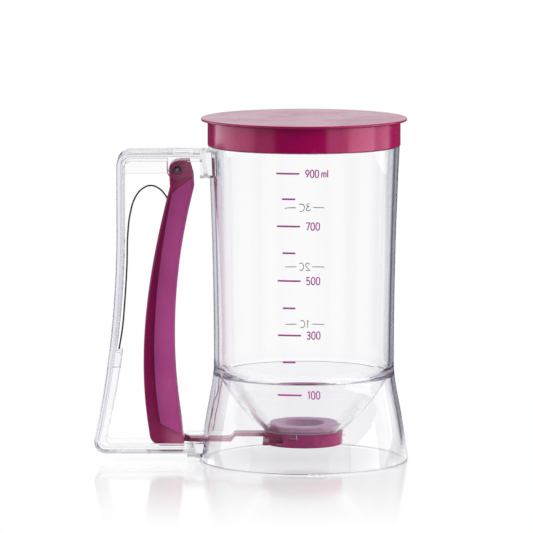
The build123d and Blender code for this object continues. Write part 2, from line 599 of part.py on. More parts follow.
def slide_gate():
    joggle = -(BASE_RADIUS - JOGGLE_INSET) + JOGGLE_RUN
    joggle_foot = joggle - JOGGLE_RUN
    tongue_end = -CAP_RADIUS
    bar = polygon((LINK_X, BAR_UNDERSIDE), (joggle_foot, BAR_UNDERSIDE), (joggle, GATE_UNDERSIDE),
                  (tongue_end + MERGE, GATE_UNDERSIDE), (tongue_end + MERGE, GATE_TOP),
                  (joggle - BAR_DROP / 4, GATE_TOP), (joggle_foot - BAR_DROP / 4, BAR_TOP), (LINK_X, BAR_TOP))
    neck_face = polygon((LINK_X, -NECK_WIDTH / 2), (RAIL_END, -NECK_WIDTH / 2),
                        (RAIL_END + JOGGLE_RUN, -BAR_WIDTH / 2), (0, -BAR_WIDTH / 2),
                        (0, BAR_WIDTH / 2), (RAIL_END + JOGGLE_RUN, BAR_WIDTH / 2),
                        (RAIL_END, NECK_WIDTH / 2), (LINK_X, NECK_WIDTH / 2))
    plan = extrude(Plane.XY * neck_face, 2 * GATE_TOP)
    body = upright(bar, -BAR_WIDTH, BAR_WIDTH) & plan

    tongue = Pos(0, 0, GATE_UNDERSIDE + GATE_THICKNESS / 2) * Cylinder(GATE_HALF_WIDTH, GATE_THICKNESS)
    tongue += block(tongue_end, 0, -GATE_HALF_WIDTH, GATE_HALF_WIDTH, GATE_UNDERSIDE, GATE_TOP)
    body += tongue
    for side in (1, -1):
        y_near, y_far = sorted((side * (GATE_HALF_WIDTH - GATE_RIB_WALL), side * GATE_HALF_WIDTH))
        body += block(tongue_end + CAP_WALL, 0, y_near, y_far, GATE_UNDERSIDE - GATE_RIB, GATE_UNDERSIDE)

    body += Pos(LINK_X, 0, LINK_HEIGHT) * Rot(90, 0, 0) * Cylinder(KNUCKLE_RADIUS, KNUCKLE_WIDTH)
    gusset = polygon((LEVER_TOE_X, BAR_TOP), (LEVER_TOE_X + 2 * GUSSET, BAR_TOP),
                     (LEVER_TOE_X, BAR_TOP + GUSSET))
    return body + upright(gusset, -NECK_WIDTH / 4, NECK_WIDTH / 4)


# ---- Valve ----

def valve_seat():
    bore = COLLAR_BORE - SEAT_FIT
    face = polygon((THROAT_RADIUS, FLANGE_UNDERSIDE), (FLANGE_RADIUS - SEAT_FIT, FLANGE_UNDERSIDE),
                   (FLANGE_RADIUS - SEAT_FIT, OUTLET_HEIGHT), (bore, OUTLET_HEIGHT), (bore, SEAT_TOP),
                   (MOUTH_RADIUS, SEAT_TOP))
    face = rounded(face, EDGE, (bore, SEAT_TOP), (MOUTH_RADIUS, SEAT_TOP))
    return revolve(Plane.XZ * face, axis=Axis.Z)


def valve_cap():
    inner = CAP_RADIUS - CAP_WALL
    face = polygon((CAP_HOLE_RADIUS, CAP_BOTTOM), (CAP_RADIUS, CAP_BOTTOM), (CAP_RADIUS, OUTLET_HEIGHT),
                   (FLANGE_RADIUS, OUTLET_HEIGHT), (FLANGE_RADIUS, FLANGE_UNDERSIDE),
                   (inner, FLANGE_UNDERSIDE), (inner, CAP_FLOOR_TOP), (CAP_HOLE_RADIUS, CAP_FLOOR_TOP))
    face = rounded(face, EDGE, (CAP_RADIUS, CAP_BOTTOM), (CAP_HOLE_RADIUS, CAP_BOTTOM))
    body = revolve(Plane.XZ * face, axis=Axis.Z)
    body -= block(-2 * CAP_RADIUS, -CAP_RADIUS / 3, -SLOT_HALF_WIDTH, SLOT_HALF_WIDTH,
                  CAP_FLOOR_TOP, FLANGE_UNDERSIDE)
    lip = block(-(CAP_RADIUS + LIP_REACH), -CAP_RADIUS / 2, -LIP_HALF_WIDTH, LIP_HALF_WIDTH,
                CAP_BOTTOM + EDGE, CAP_FLOOR_TOP)
    body += lip - Pos(0, 0, CAP_FLOOR_TOP) * Cylinder(CAP_RADIUS - MERGE, 4 * CAP_FLOOR)
    low = OUTLET_HEIGHT - LUG_DROP
    for angle in LUG_ANGLES:
        notch = block(CAP_RADIUS + LUG_FIT - LUG_HOOK - LUG_FIT, 2 * CAP_RADIUS,
                      -LUG_WIDTH / 2 - LUG_FIT, LUG_WIDTH / 2 + LUG_FIT, low - LUG_FIT, low + LUG_HOOK + LUG_FIT)
        body -= Rot(0, 0, angle) * notch
    return body


PARTS = {
    "container": container,
    "handle_frame": handle_frame,
    "lid": lid,
    "trigger_lever": trigger_lever,
    "pivot_pin": pivot_pin,
    "return_spring": return_spring,
    "slide_gate": slide_gate,
    "valve_seat": valve_seat,
    "valve_cap": valve_cap,
}

os.makedirs("parts", exist_ok=True)
for node, make in PARTS.items():
    export_step(make(), f"parts/{node}.step")
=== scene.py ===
"""Pancake batter dispenser: finishes, printed scales, spring wire and a plain studio stage."""

import math

import bmesh
import bpy
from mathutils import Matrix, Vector
from mathutils.bvhtree import BVHTree


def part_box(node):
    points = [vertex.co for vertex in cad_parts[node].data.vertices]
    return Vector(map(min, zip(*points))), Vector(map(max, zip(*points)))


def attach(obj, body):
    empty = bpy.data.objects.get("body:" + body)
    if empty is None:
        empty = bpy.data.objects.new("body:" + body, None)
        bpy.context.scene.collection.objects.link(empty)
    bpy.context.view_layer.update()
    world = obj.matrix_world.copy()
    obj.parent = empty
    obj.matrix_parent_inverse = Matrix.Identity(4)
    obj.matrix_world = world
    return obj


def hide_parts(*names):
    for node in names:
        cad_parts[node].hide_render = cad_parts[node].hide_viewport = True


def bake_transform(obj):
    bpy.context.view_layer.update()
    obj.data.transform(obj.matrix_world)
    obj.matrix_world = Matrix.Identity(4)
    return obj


bl_info = {
    "name": "Batter Dispenser",
    "version": (1, 0, 0),
    "blender": (4, 5, 0),
    "location": "View3D > Sidebar > Dispenser",
    "description": "Finishes and small pieces of a hand-held pancake batter dispenser",
    "category": "Object",
}

MM = 0.001

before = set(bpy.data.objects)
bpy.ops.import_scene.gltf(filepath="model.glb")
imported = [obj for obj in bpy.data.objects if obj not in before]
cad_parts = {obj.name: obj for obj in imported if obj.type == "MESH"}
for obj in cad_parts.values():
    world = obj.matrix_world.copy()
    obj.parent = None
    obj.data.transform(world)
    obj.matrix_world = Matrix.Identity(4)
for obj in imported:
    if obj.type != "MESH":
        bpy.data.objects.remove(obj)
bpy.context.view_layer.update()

# Centre line of the return spring's wire, in millimetres along X and Z: from the lever, over
# the hairpin bend and down the grip's channel.
WIRE_POINTS = (
    (-70.6, 135.7), (-74.2, 142.6), (-77.6, 146.0), (-81.6, 147.4), (-85.6, 146.1), (-89.6, 141.8),
    (-92.6, 133.0), (-94.0, 122.0), (-94.6, 104.0), (-95.9, 83.5), (-97.1, 70.5), (-98.9, 59.5),
)

# Heights of the scales' marks, in millimetres above the table.
LONG_MARKS = ((158.6, "900"), (130.7, "700"), (101.8, "500"), (72.9, "300"), (41.3, "100"))
SHORT_MARKS = (145.1, 116.5, 87.3, 58.6)
CUP_MARKS = ((131.4, "3"), (98.7, "2"), (66.7, "1"))

# Places of the printed dashes and figures, in millimetres across from the middle of the jar.
LONG_DASH = (-15.05, -2.75)
SHORT_DASH = (-12.0, -4.95)
CUP_DASHES = ((-12.3, -5.1), (4.0, 10.6))
FIGURES_LEFT = 0.45
CUP_FIGURES_LEFT = -3.9

# The front scale runs to the right downwards: a dash's left end by this share of the drop, its
# right end and the figures by a multiple of that.
MARKS_SLANT = 0.0045
DASH_SLANT = 2.3
FIGURES_SLANT = 1.9

# How much wider than drawn the figures are printed.
TOP_STRETCH = 1.03
STRETCH = 1.11
CUP_STRETCH = 1.4

# Bounds inside which a finish changes over, in metres.
SKIRT_INSIDE = (45.5 * MM, 46.5 * MM)    # distance from the jar's axis
SKIRT_TOP = (48.0 * MM, 54.0 * MM)
BAR_REFLECTION_STARTS = (-58 * MM, -47 * MM)        # along the gate's bar, from the lever to the valve
BAR_REFLECTION_ENDS = (-27 * MM, -21 * MM)
PANEL_SIDES = (7.6 * MM, 8.3 * MM)       # from the lever's middle plane to its grip panels
# painted shade ring round the middle of the pin's end
END_RING_SHADE = (0.7 * MM, 1.1 * MM)       # distance from the pin's axis
FLOOR_FADE = (0.07, 0.25)                # distance from the jar's axis

# painted reflection: the bar's pale tone where the skirt's clear walls are in front of it
BAR_REFLECTION_TONE = (0.76, 0.46, 0.57, 1)      # the gate's bar
# painted highlight on the lever's core towards the jar
JAR_SIDE_SHEEN_TONE = (0.42, 0.10, 0.20, 1)        # the side of the lever that faces the jar
# painted shade in the ring round the pin's end
END_RING_SHADE_TONE = (0.02, 0.016, 0.016, 1)
CUP_INK = (0.36, 0.35, 0.40, 1)
WHITE = (1, 1, 1, 1)

# The middle line of the lever's sides, a parabola in X over the height.
LEVER_BOW_HEIGHT = 60 * MM
LEVER_MIDDLE = -77.3 * MM
LEVER_LEAN = -0.0166
LEVER_BOW = 1.401
PANEL_CROWN = 10.0           # how strongly the grip panels curve away from that line

PRINT_RADIUS = 50 * MM       # of the cylinder on which the print is laid out
OUTSIDE = 90 * MM            # from the axis, where the search for the jar's wall starts
CAMERA_TARGET = Vector((-20.0 * MM, 0, 103.9 * MM))


# ---------------------------------------------------------------- settings

class DispenserFinish(bpy.types.PropertyGroup):
    clear_colour: bpy.props.FloatVectorProperty(
        name="Clear plastic", description="Tint of the clear mouldings",
        subtype="COLOR", size=4, min=0, max=1, default=(0.998, 0.997, 1.0, 1))
    # Painted shade: the skirt's greyer tint stands in for the shaded floor seen through its walls.
    skirt_shade_tint: bpy.props.FloatVectorProperty(
        name="Skirt tint", description="Tint of the jar's standing skirt, moulded a little greyer",
        subtype="COLOR", size=4, min=0, max=1, default=(0.955, 0.952, 0.962, 1))
    clear_density: bpy.props.FloatProperty(
        name="Tint depth", description="How fast the clear plastic darkens along its walls",
        min=0, default=14.0)
    handle_density: bpy.props.FloatProperty(
        name="Handle tint depth", description="How fast the handle's thicker plastic darkens",
        min=0, default=36.0)
    gloss_colour: bpy.props.FloatVectorProperty(
        name="Gloss magenta", description="Colour of the lid and the slide gate",
        subtype="COLOR", size=4, min=0, max=1, default=(0.24, 0.001, 0.062, 1))
    cap_colour: bpy.props.FloatVectorProperty(
        name="Cap magenta", description="Colour of the ring that closes the valve from below",
        subtype="COLOR", size=4, min=0, max=1, default=(0.27, 0.008, 0.10, 1))
    grip_colour: bpy.props.FloatVectorProperty(
        name="Grip magenta", description="Colour of the lever's satin grip panels",
        subtype="COLOR", size=4, min=0, max=1, default=(0.325, 0.050, 0.195, 1))
    lever_colour: bpy.props.FloatVectorProperty(
        name="Lever magenta", description="Colour of the lever's core, head and toe",
        subtype="COLOR", size=4, min=0, max=1, default=(0.19, 0.006, 0.065, 1))
    # How far the bar is painted pale, a painted reflection of the skirt's clear walls in front of
    # it.
    gate_reflection: bpy.props.FloatProperty(
        name="Gate reflection", description="How far the gate's bar has rubbed pale in its rails",
        min=0, max=1, default=0.9)
    # How far a painted highlight lightens the lever's head and toe towards the jar.
    lever_sheen: bpy.props.FloatProperty(
        name="Lever sheen",
        description="How far the lever's head and toe are rubbed paler towards the jar",
        min=0, max=1, default=0.85)
    wire_colour: bpy.props.FloatVectorProperty(
        name="Spring wire", description="Colour of the oil-tempered spring wire",
        subtype="COLOR", size=4, min=0, max=1, default=(0.10, 0.10, 0.095, 1))
    pin_colour: bpy.props.FloatVectorProperty(
        name="Pin steel", description="Colour of the pivot pin",
        subtype="COLOR", size=4, min=0, max=1, default=(0.62, 0.60, 0.56, 1))
    # The seat's pink, painted paler: a painted reflection of the funnel's clear walls in front of
    # it.
    seat_colour_and_reflection: bpy.props.FloatVectorProperty(
        name="Seat pink", description="Colour of the valve's seat under the funnel",
        subtype="COLOR", size=4, min=0, max=1, default=(0.50, 0.29, 0.41, 1))
    ink_colour: bpy.props.FloatVectorProperty(
        name="Scale ink", description="Colour of the millilitre scale",
        subtype="COLOR", size=4, min=0, max=1, default=(0.31, 0.012, 0.23, 1))


class DispenserPrint(bpy.types.PropertyGroup):
    figure_height: bpy.props.FloatProperty(
        name="Figure height", description="Height of the scale's figures",
        unit="LENGTH", min=0, default=3.9 * MM)
    stroke: bpy.props.FloatProperty(
        name="Stroke", description="Width of the printed strokes",
        unit="LENGTH", min=0, default=0.62 * MM)
    film: bpy.props.FloatProperty(
        name="Ink film", description="Thickness of the printed ink",
        unit="LENGTH", min=0, default=0.05 * MM)
    wire_radius: bpy.props.FloatProperty(
        name="Wire radius", description="Radius of the return spring's wire",
        unit="LENGTH", min=0, default=0.45 * MM)


class DispenserStage(bpy.types.PropertyGroup):
    floor_radius: bpy.props.FloatProperty(
        name="Floor radius", description="Radius of the pale floor",
        unit="LENGTH", min=0, default=0.75)
    floor_glow: bpy.props.FloatProperty(
        name="Floor glow", description="How far the floor shows white by itself, from 0 to 1",
        min=0, max=1, default=0.89)
    camera_distance: bpy.props.FloatProperty(
        name="Camera distance", description="Distance from the camera to the jar's axis",
        unit="LENGTH", min=0, default=2.80)
    camera_lens: bpy.props.FloatProperty(
        name="Camera lens", description="Focal length in millimetres on a 36 mm sensor",
        min=1, default=354.0)
    camera_pitch: bpy.props.FloatProperty(
        name="Camera pitch", description="How far the camera looks down",
        unit="ROTATION", default=math.radians(6.65))
    fill_level: bpy.props.FloatProperty(
        name="Fill level", description="Strength of the even light from all round",
        min=0, default=0.36)
    softbox_level: bpy.props.FloatProperty(
        name="Softbox level", description="Brightness of the softboxes",
        min=0, default=3.8)
    clear_bounces: bpy.props.IntProperty(
        name="Light bounces",
        description="How often light may turn inside the clear plastic's corners",
        min=4, default=200)


# ---------------------------------------------------------------- node helpers

def add_node(tree, kind, **values):
    """Adds a shader node. A value goes to the attribute or the input socket of its name."""
    node = tree.nodes.new(kind)
    for name, value in values.items():
        if hasattr(node, name):
            setattr(node, name, value)
        else:
            node.inputs[name.replace("_", " ")].default_value = value
    return node


def maths(tree, operation, first, second=None, third=None):
    """Adds a Math node on sockets or plain numbers and gives its output."""
    node = tree.nodes.new("ShaderNodeMath")
    node.operation = operation
    for socket, value in zip(node.inputs, (first, second, third)):
        if value is None:
            continue
        if isinstance(value, bpy.types.NodeSocket):
            tree.links.new(value, socket)
        else:
            socket.default_value = value
    return node.outputs[0]


def mixed_colour(tree, factor, first, second, blend="MIX"):
    """Adds a colour Mix node and gives its output."""
    node = tree.nodes.new("ShaderNodeMix")
    node.data_type = "RGBA"
    node.blend_type = blend
    for number, value in ((0, factor), (6, first), (7, second)):
        socket = node.inputs[number]
        if isinstance(value, bpy.types.NodeSocket):
            tree.links.new(value, socket)
        else:
            socket.default_value = value
    return node.outputs[2]


def ranged(tree, value, low, high, to_low=0.0, to_high=1.0):
    """Adds a smooth Map Range node and gives its output."""
    node = add_node(tree, "ShaderNodeMapRange", interpolation_type="SMOOTHSTEP")
    tree.links.new(value, node.inputs[0])
    for socket, number in zip(node.inputs[1:5], (low, high, to_low, to_high)):
        socket.default_value = number
    return node.outputs[0]


def object_place(tree, scale=(1, 1, 1)):
    """Gives a vector of the place on the object, scaled on each axis."""
    place = tree.nodes.new("ShaderNodeTexCoord")
    mapping = tree.nodes.new("ShaderNodeMapping")
    mapping.inputs["Scale"].default_value = scale
    tree.links.new(place.outputs["Object"], mapping.inputs["Vector"])
    return mapping.outputs["Vector"]


def object_axes(tree):
    """Gives the X, Y and Z outputs of the place on the object."""
    axes = tree.nodes.new("ShaderNodeSeparateXYZ")
    tree.links.new(object_place(tree), axes.inputs[0])
    return axes.outputs


def distance(tree, first, second):
    """Gives the distance from an axis, from the two coordinates across it."""
    square = maths(tree, "MULTIPLY", first, first)
    return maths(tree, "SQRT", maths(tree, "MULTIPLY_ADD", second, second, square))


def noise(tree, vector, scale, detail=2.0, roughness=0.5):
    """Adds a noise texture and gives its value."""
    node = add_node(tree, "ShaderNodeTexNoise", Scale=scale, Detail=detail, Roughness=roughness)
    tree.links.new(vector, node.inputs["Vector"])
    return node.outputs[0]


def new_group(name, inputs, outputs):
    """Starts a shader node group with float or colour sockets."""
    group = bpy.data.node_groups.new(name, "ShaderNodeTree")
    for socket_name, kind, default in inputs:
        socket = group.interface.new_socket(socket_name, in_out="INPUT", socket_type=kind)
        socket.default_value = default
    for socket_name, kind in outputs:
        group.interface.new_socket(socket_name, in_out="OUTPUT", socket_type=kind)
    given = group.nodes.new("NodeGroupInput").outputs
    return group, given, group.nodes.new("NodeGroupOutput").inputs


def handling_marks():
    """Group: hairline scratches and finger smears left by washing and handling."""
    name = "Handling Marks"
    if name in bpy.data.node_groups:
        return bpy.data.node_groups[name]
    value = "NodeSocketFloat"
    group, given, result = new_group(
        name,
        (("Base", value, 0.2), ("Scratch", value, 0.1), ("Smear", value, 0.1),
         ("Scale", value, 1.0)),
        (("Roughness", value), ("Scratches", value)))
    hairlines = []
    for turn, stretch in ((0.35, (900, 900, 26)), (-0.9, (40, 900, 900)), (1.3, (900, 30, 700))):
        place = group.nodes.new("ShaderNodeTexCoord")
        mapping = group.nodes.new("ShaderNodeMapping")
        mapping.inputs["Rotation"].default_value = (turn, turn * 0.6, turn * 1.7)
        mapping.inputs["Scale"].default_value = stretch
        group.links.new(place.outputs["Object"], mapping.inputs["Vector"])
        lines = noise(group, mapping.outputs["Vector"], 1.0, 1.0)
        sharp = ranged(group, lines, 0.66, 0.72)
        patches = ranged(group, noise(group, object_place(group), 34.0 + 20 * turn), 0.5, 0.68)
        hairlines.append(maths(group, "MULTIPLY", sharp, patches))
    scratches = maths(group, "MAXIMUM", hairlines[0], hairlines[1])
    scratches = maths(group, "MAXIMUM", scratches, hairlines[2])
    spread = group.nodes.new("ShaderNodeVectorMath")
    spread.operation = "SCALE"
    group.links.new(object_place(group), spread.inputs[0])
    group.links.new(given["Scale"], spread.inputs["Scale"])
    smears = ranged(group, noise(group, spread.outputs[0], 22.0, 4.0, 0.6), 0.42, 0.72)
    rough = maths(group, "MULTIPLY_ADD", scratches, given["Scratch"], given["Base"])
    rough = maths(group, "MULTIPLY_ADD", smears, given["Smear"], rough)
    group.links.new(rough, result["Roughness"])
    group.links.new(scratches, result["Scratches"])
    return group


def moulded_surface():
    """Group: the long soft waves and fine grain of a moulded plastic skin."""
    name = "Moulded Surface"
    if name in bpy.data.node_groups:
        return bpy.data.node_groups[name]
    value = "NodeSocketFloat"
    group, given, result = new_group(
        name, (("Wave", value, 0.5), ("Grain", value, 0.5), ("Grain Scale", value, 900.0)),
        (("Height", value), ("Mottle", value)))
    waves = noise(group, object_place(group, (1, 1, 0.35)), 26.0, 1.0)
    grain = group.nodes.new("ShaderNodeTexNoise")
    grain.inputs["Detail"].default_value = 3.0
    group.links.new(object_place(group), grain.inputs["Vector"])
    group.links.new(given["Grain Scale"], grain.inputs["Scale"])
    height = maths(group, "MULTIPLY", waves, given["Wave"])
    height = maths(group, "MULTIPLY_ADD", grain.outputs[0], given["Grain"], height)
    group.links.new(height, result["Height"])
    group.links.new(noise(group, object_place(group), 55.0, 3.0, 0.55), result["Mottle"])
    return group


def edge_rub():
    """Group: a mask that is bright along edges where the colour has rubbed paler."""
    name = "Edge Rub"
    if name in bpy.data.node_groups:
        return bpy.data.node_groups[name]
    value = "NodeSocketFloat"
    group, given, result = new_group(name, (("Width", value, 0.0006), ("Breakup", value, 0.5)),
                                     (("Mask", value),))
    bevel = group.nodes.new("ShaderNodeBevel")
    bevel.samples = 4
    group.links.new(given["Width"], bevel.inputs["Radius"])
    geometry = group.nodes.new("ShaderNodeNewGeometry")
    dot = group.nodes.new("ShaderNodeVectorMath")
    dot.operation = "DOT_PRODUCT"
    group.links.new(bevel.outputs["Normal"], dot.inputs[0])
    group.links.new(geometry.outputs["Normal"], dot.inputs[1])
    edge = ranged(group, dot.outputs["Value"], 0.985, 0.80)
    wear_and_sheen = ranged(group, noise(group, object_place(group), 240.0, 3.0), 0.35, 0.7)
    broken = maths(group, "MULTIPLY", edge, wear_and_sheen)
    kept = maths(group, "SUBTRACT", 1.0, given["Breakup"])
    mask = maths(group, "ADD", maths(group, "MULTIPLY", edge, kept),
                 maths(group, "MULTIPLY", broken, given["Breakup"]))
    group.links.new(mask, result["Mask"])
    return group


def place_group(tree, group, **values):
    """Adds a node group and sets its inputs by name."""
    node = tree.nodes.new("ShaderNodeGroup")
    node.node_tree = group
    for name, value in values.items():
        node.inputs[name.replace("_", " ")].default_value = value
    return node


def start_material(name):
    """A material with an empty tree, its output and a Principled shader."""
    material = bpy.data.materials.new(name)
    material.use_nodes = True
    tree = material.node_tree
    tree.nodes.clear()
    output = tree.nodes.new("ShaderNodeOutputMaterial")
    shader = tree.nodes.new("ShaderNodeBsdfPrincipled")
    tree.links.new(shader.outputs[0], output.inputs["Surface"])
    return material, tree, shader, output


def add_bump(tree, shader, height, strength, depth):
    """Puts a Bump node between a height and the shader."""
    bump = add_node(tree, "ShaderNodeBump", Strength=strength, Distance=depth)
    tree.links.new(height, bump.inputs["Height"])
    tree.links.new(bump.outputs["Normal"], shader.inputs["Normal"])


def new_tone(tree, shader, factor, colour):
    """Mixes a colour over the one that already feeds the shader."""
    under = shader.inputs["Base Color"].links[0].from_socket
    tree.links.new(mixed_colour(tree, factor, under, colour), shader.inputs["Base Color"])


# ---------------------------------------------------------------- materials

def skirt_mask(tree):
    """1 on the skirt's walls, outside the funnel and below it, and 0 on the rest of the jar."""
    axes = object_axes(tree)
    radius = distance(tree, axes["X"], axes["Y"])
    outside = ranged(tree, radius, *SKIRT_INSIDE)
    below = ranged(tree, axes["Z"], *SKIRT_TOP, 1.0, 0.0)
    return maths(tree, "MULTIPLY", outside, below)


def clear_plastic(name, finish, density, has_skirt=False):
    """Clear moulded plastic: bends light, greys along its walls and lets the lamps through."""
    material, tree, shader, output = start_material(name)
    shader.inputs["Base Color"].default_value = finish.clear_colour
    shader.inputs["Transmission Weight"].default_value = 1.0
    shader.inputs["IOR"].default_value = 1.49
    shader.inputs["Specular Tint"].default_value = (0.30, 0.30, 0.33, 1)
    marks = place_group(tree, handling_marks(), Base=0.0, Scratch=0.08, Smear=0.01, Scale=1.0)
    tree.links.new(marks.outputs["Roughness"], shader.inputs["Roughness"])
    skin = place_group(tree, moulded_surface(), Wave=0.9, Grain=0.0, Grain_Scale=900.0)
    add_bump(tree, shader, skin.outputs["Height"], 0.05, 0.0006)
    # Painted shade: the skirt takes a greyer tint that stands in for the shaded floor seen through
    # it.
    if has_skirt:
        clear, skirt = tuple(finish.clear_colour), tuple(finish.skirt_shade_tint)
        tone = mixed_colour(tree, skirt_mask(tree), clear, skirt)
        tree.links.new(tone, shader.inputs["Base Color"])
    absorb = add_node(tree, "ShaderNodeVolumeAbsorption", Color=(0.72, 0.73, 0.80, 1),
                      Density=density)
    tree.links.new(absorb.outputs[0], output.inputs["Volume"])
    let_through = add_node(tree, "ShaderNodeBsdfTransparent", Color=(0.93, 0.925, 0.935, 1))
    path = tree.nodes.new("ShaderNodeLightPath")
    mix = tree.nodes.new("ShaderNodeMixShader")
    tree.links.new(path.outputs["Is Shadow Ray"], mix.inputs[0])
    tree.links.new(shader.outputs[0], mix.inputs[1])
    tree.links.new(let_through.outputs[0], mix.inputs[2])
    tree.links.new(mix.outputs[0], output.inputs["Surface"])
    return material


def plastic_tone(tree, colour, mottle, wear):
    """A plastic's colour: deeper in its flow marks, paler where it is worn."""
    red, green, blue = colour[:3]
    paler = (min(1, red * 1.3 + 0.05), green * 1.3 + 0.03, blue * 1.3 + 0.045, 1)
    deeper = (red * 0.9, green * 0.8, blue * 0.88, 1)
    return mixed_colour(tree, wear, mixed_colour(tree, mottle, deeper, tuple(colour)), paler)


def magenta_plastic(name, colour, base, smear, grain):
    """Opaque coloured plastic with a moulded skin, fine scratches, paler rubbed edges and a
    painted bluish sheen on its up-facing tops.
    """
    material, tree, shader, _ = start_material(name)
    skin = place_group(tree, moulded_surface(), Wave=0.35, Grain=grain, Grain_Scale=1500.0)
    marks = place_group(tree, handling_marks(), Base=base, Scratch=0.16, Smear=smear, Scale=1.4)
    rub = place_group(tree, edge_rub(), Width=0.0005, Breakup=0.7)
    mottle = ranged(tree, skin.outputs["Mottle"], 0.3, 0.7)
    wear = maths(tree, "MAXIMUM", maths(tree, "MULTIPLY", rub.outputs["Mask"], 0.38),
                 maths(tree, "MULTIPLY", marks.outputs["Scratches"], 0.12))
    # Painted sheen: up-facing tops are painted paler and bluer, a painted reflection of the cool
    # light above them.
    facing = tree.nodes.new("ShaderNodeSeparateXYZ")
    tree.links.new(tree.nodes.new("ShaderNodeNewGeometry").outputs["Normal"], facing.inputs[0])
    top_sheen = maths(tree, "MULTIPLY", ranged(tree, facing.outputs["Z"], 0.9, 0.98), 0.25)
    top_sheen_tone = (colour[0] * 0.75, colour[1], colour[2] + 0.10, 1)
    tone = mixed_colour(tree, top_sheen, plastic_tone(tree, colour, mottle, wear), top_sheen_tone)
    tree.links.new(tone, shader.inputs["Base Color"])
    tree.links.new(marks.outputs["Roughness"], shader.inputs["Roughness"])
    shader.inputs["IOR"].default_value = 1.5
    shader.inputs["Specular Tint"].default_value = (1.0, 0.5, 0.62, 1)
    add_bump(tree, shader, skin.outputs["Height"], 0.16, 0.0004)
    return material, tree, shader


def gate_plastic(finish):
    """The gate's gloss plastic, with a painted reflection that pales the bar where it runs inside
    the jar's skirt.
    """
    material, tree, shader = magenta_plastic(
        "gate_magenta_plastic", finish.gloss_colour, 0.13, 0.07, 0.05)
    along = object_axes(tree)["X"]
    started = ranged(tree, along, *BAR_REFLECTION_STARTS)
    ended = ranged(tree, along, *BAR_REFLECTION_ENDS, 1.0, 0.0)
    # Painted reflection: the bar is painted paler between these bounds, inside the skirt.
    bar_reflection = maths(tree, "MULTIPLY", maths(tree, "MULTIPLY", started, ended), finish.gate_reflection)
    new_tone(tree, shader, bar_reflection, BAR_REFLECTION_TONE)
    return material


def lever_plastic(finish):
    """The lever's glossy core, and satin grip panels that stand out on both sides of it; a painted
    highlight lightens the core towards the jar and painted shading runs across the panels.
    """
    material, tree, shader = magenta_plastic(
        "lever_magenta_plastic", finish.lever_colour, 0.16, 0.10, 0.1)
    axes = object_axes(tree)
    rise = maths(tree, "SUBTRACT", axes["Z"], LEVER_BOW_HEIGHT)
    lean = maths(tree, "MULTIPLY_ADD", rise, LEVER_BOW, LEVER_LEAN)
    middle = maths(tree, "MULTIPLY_ADD", rise, lean, LEVER_MIDDLE)
    away = maths(tree, "SUBTRACT", axes["X"], middle)
    # Painted highlight: the core is painted paler on its side towards the jar.
    wear_and_sheen = maths(tree, "MULTIPLY", ranged(tree, away, -4 * MM, 6 * MM), finish.lever_sheen)
    new_tone(tree, shader, wear_and_sheen, JAR_SIDE_SHEEN_TONE)
    panel = ranged(tree, maths(tree, "ABSOLUTE", axes["Y"]), *PANEL_SIDES)
    skin = place_group(tree, moulded_surface(), Wave=0.2, Grain=0.6, Grain_Scale=1700.0)
    mottle = ranged(tree, skin.outputs["Mottle"], 0.3, 0.7)
    rub = place_group(tree, edge_rub(), Width=0.0007, Breakup=0.5)
    wear = maths(tree, "MULTIPLY", rub.outputs["Mask"], 0.45)
    grip_tone = plastic_tone(tree, finish.grip_colour, mottle, wear)
    # Painted shade and highlight: the grip panels darken away from the jar and lighten towards it.
    painted_shading = ranged(tree, away, -5 * MM, 6 * MM, 0.74, 1.08)
    new_tone(tree, shader, panel, mixed_colour(tree, 1.0, grip_tone, painted_shading, "MULTIPLY"))
    gloss = shader.inputs["Roughness"].links[0].from_socket
    tree.links.new(maths(tree, "MULTIPLY_ADD", panel, 0.22, gloss), shader.inputs["Roughness"])
    drop = maths(tree, "MULTIPLY", maths(tree, "MULTIPLY", away, away), -PANEL_CROWN)
    crown = add_node(tree, "ShaderNodeBump", Strength=1.0, Distance=1.0)
    tree.links.new(drop, crown.inputs["Height"])
    bump = shader.inputs["Normal"].links[0].from_node
    tree.links.new(crown.outputs["Normal"], bump.inputs["Normal"])
    return material


def drawn_steel(name, colour, base):
    """Drawn steel with fine lines and small dark spots of oil."""
    material, tree, shader, _ = start_material(name)
    shader.inputs["Metallic"].default_value = 1.0
    marks = place_group(tree, handling_marks(), Base=base, Scratch=0.25, Smear=0.12, Scale=6.0)
    spots = ranged(tree, noise(tree, object_place(tree), 700.0, 3.0), 0.45, 0.7, 0.0, 0.5)
    dark = tuple(c * 0.45 for c in colour[:3]) + (1,)
    tone = mixed_colour(tree, spots, tuple(colour), dark)
    tree.links.new(tone, shader.inputs["Base Color"])
    tree.links.new(marks.outputs["Roughness"], shader.inputs["Roughness"])
    lines = noise(tree, object_place(tree, (3000, 300, 3000)), 1.0, 2.0)
    add_bump(tree, shader, lines, 0.25, 0.0001)
    return material, tree, shader


def pin_steel(finish):
    """The pin's steel, with painted shade in a dark ring round the bright middle of its end."""
    material, tree, shader = drawn_steel("pin_steel", finish.pin_colour, 0.22)
    middle = [(low + high) / 2 for low, high in zip(*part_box("pivot_pin"))]
    axes = object_axes(tree)
    across = maths(tree, "SUBTRACT", axes["X"], middle[0])
    above = maths(tree, "SUBTRACT", axes["Z"], middle[2])
    # Painted shade: a dark ring round the middle of the pin's end.
    end_ring_shade = ranged(tree, distance(tree, across, above), *END_RING_SHADE, 0.0, 0.92)
    new_tone(tree, shader, end_ring_shade, END_RING_SHADE_TONE)
    return material


